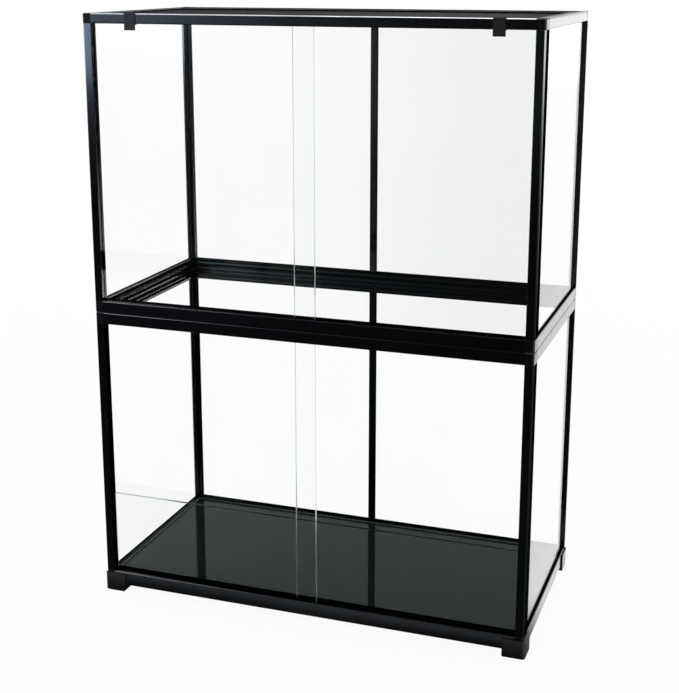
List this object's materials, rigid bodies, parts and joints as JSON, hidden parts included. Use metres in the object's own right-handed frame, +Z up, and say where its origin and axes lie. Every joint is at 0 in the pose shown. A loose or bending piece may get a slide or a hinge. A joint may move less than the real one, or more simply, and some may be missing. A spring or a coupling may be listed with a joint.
{
  "type": "glass reptile terrarium",
  "caption": "Tall glass terrarium of stacked framed modules with sliding glass doors, a low substrate dam, a dark glass floor, a lift-off screen top and rear cable inlets.",
  "frame": {"origin": "on the ground, under the middle of the cabinet", "axes": "+Z up, front with the doors towards -Y, +X to the viewer's right"},
  "size_m": [0.9144, 0.4572, 1.2192],
  "materials": {
    "black_anodised_aluminium": "satin black anodised",
    "clear_glass": "clear float glass, ground edges",
    "dark_floor_glass": "black-backed float glass",
    "black_moulded_plastic": "fine moulded texture",
    "black_coated_wire": "matt black coated wire",
    "plated_steel": "zinc plated"
  },
  "bodies": {
    "cabinet": {"cable_panel": "black_moulded_plastic", "floor_pane": "dark_floor_glass", "foot_screws": "plated_steel", "front_left_foot": "black_moulded_plastic", "front_right_foot": "black_moulded_plastic", "left_door_clip": "black_moulded_plastic", "lower_base_connectors": "black_moulded_plastic", "lower_front_base_rail": "black_anodised_aluminium", "lower_front_left_post": "black_anodised_aluminium", "lower_front_right_post": "black_anodised_aluminium", "lower_front_top_rail": "black_anodised_aluminium", "lower_left_base_rail": "black_anodised_aluminium", "lower_left_pane": "clear_glass", "lower_left_top_rail": "black_anodised_aluminium", "lower_rear_base_rail": "black_anodised_aluminium", "lower_rear_left_pane": "clear_glass", "lower_rear_left_post": "black_anodised_aluminium", "lower_rear_mullion": "black_anodised_aluminium", "lower_rear_right_pane": "clear_glass", "lower_rear_right_post": "black_anodised_aluminium", "lower_rear_top_rail": "black_anodised_aluminium", "lower_right_base_rail": "black_anodised_aluminium", "lower_right_pane": "clear_glass", "lower_right_top_rail": "black_anodised_aluminium", "lower_top_connectors": "black_moulded_plastic", "rear_left_foot": "black_moulded_plastic", "rear_right_foot": "black_moulded_plastic", "right_door_clip": "black_moulded_plastic", "stacking_dowels": "plated_steel", "substrate_dam": "clear_glass", "upper_base_connectors": "black_moulded_plastic", "upper_front_base_rail": "black_anodised_aluminium", "upper_front_left_post": "black_anodised_aluminium", "upper_front_right_post": "black_anodised_aluminium", "upper_front_top_rail": "black_anodised_aluminium", "upper_left_base_rail": "black_anodised_aluminium", "upper_left_pane": "clear_glass", "upper_left_top_rail": "black_anodised_aluminium", "upper_rear_base_rail": "black_anodised_aluminium", "upper_rear_left_pane": "clear_glass", "upper_rear_left_post": "black_anodised_aluminium", "upper_rear_mullion": "black_anodised_aluminium", "upper_rear_right_pane": "clear_glass", "upper_rear_right_post": "black_anodised_aluminium", "upper_rear_top_rail": "black_anodised_aluminium", "upper_right_base_rail": "black_anodised_aluminium", "upper_right_pane": "clear_glass", "upper_right_top_rail": "black_anodised_aluminium", "upper_top_connectors": "black_moulded_plastic"},
    "lower_left_door": {"lower_left_door": "clear_glass"},
    "lower_right_door": {"lower_right_door": "clear_glass"},
    "upper_left_door": {"upper_left_door": "clear_glass"},
    "upper_right_door": {"upper_right_door": "clear_glass"},
    "screen_lid": {"screen_frame": "black_anodised_aluminium", "screen_net": "black_coated_wire"},
    "left_cable_gate": {"left_cable_gate": "black_moulded_plastic"},
    "right_cable_gate": {"right_cable_gate": "black_moulded_plastic"}
  },
  "joints": [
    {"name": "lower_left_door_slide", "type": "slide", "parent": "cabinet", "child": "lower_left_door", "axis": [1, 0, 0], "range_m": [0, 0.42]},
    {"name": "lower_right_door_slide", "type": "slide", "parent": "cabinet", "child": "lower_right_door", "axis": [-1, 0, 0], "range_m": [0, 0.42]},
    {"name": "upper_left_door_slide", "type": "slide", "parent": "cabinet", "child": "upper_left_door", "axis": [1, 0, 0], "range_m": [0, 0.42]},
    {"name": "upper_right_door_slide", "type": "slide", "parent": "cabinet", "child": "upper_right_door", "axis": [-1, 0, 0], "range_m": [0, 0.42]},
    {"name": "screen_lift", "type": "slide", "parent": "cabinet", "child": "screen_lid", "axis": [0, 0, 1], "range_m": [0, 0.2]},
    {"name": "left_cable_gate_slide", "type": "slide", "parent": "cabinet", "child": "left_cable_gate", "axis": [-1, 0, 0], "range_m": [0, 0.063]},
    {"name": "right_cable_gate_slide", "type": "slide", "parent": "cabinet", "child": "right_cable_gate", "axis": [1, 0, 0], "range_m": [0, 0.063]}
  ]
}
